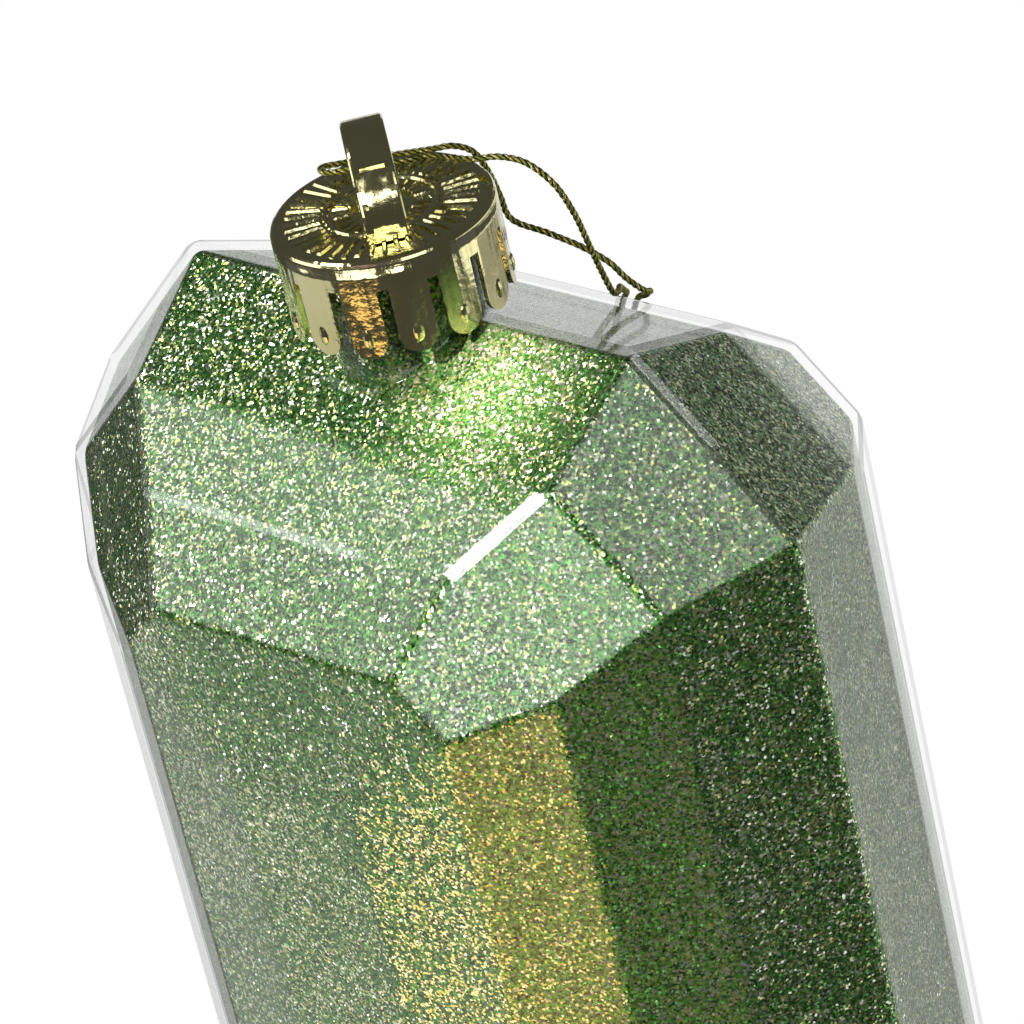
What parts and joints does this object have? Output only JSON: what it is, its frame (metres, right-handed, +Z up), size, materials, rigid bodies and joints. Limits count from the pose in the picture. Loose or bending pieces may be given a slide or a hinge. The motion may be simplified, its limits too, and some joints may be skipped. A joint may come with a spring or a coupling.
{
  "type": "gem ornament",
  "caption": "Hanging decoration: a large clear step-cut gem lined with green glitter, with a gold scalloped cap, an arched hanger loop and a knotted metallic cord.",
  "frame": {"origin": "the point under the crown of the hanger loop where a hook or branch bears, straight above the centre of the gem", "axes": "+Z up, along the gem's height; -Y out of the front table, the side with four steps; +Y out of the wide back table, the side with two steps; X across the width"},
  "size_m": [0.15, 0.1034, 0.24],
  "materials": {
    "clear_shell": "clear blow-moulded plastic, high gloss",
    "green_glitter": "green glitter with gold and white flakes, stuck to the inside of the wall",
    "gold_cap": "pale gold vacuum plating on moulded plastic",
    "gold_loop": "pale gold vacuum plating on moulded plastic",
    "gold_cord": "twisted metallic thread, gold and olive green"
  },
  "bodies": {
    "cap": {"cap_cover": "gold_cap", "hanger_loop": "gold_loop", "hanging_cord": "gold_cord", "cord_knot": "gold_cord"},
    "gem": {"gem_shell": "clear_shell", "glitter_lining": "green_glitter"}
  },
  "joints": [
    {"name": "gem_pull_off", "type": "slide", "parent": "cap", "child": "gem", "axis": [0, 0, -1], "range_m": [0, 0.03]}
  ]
}
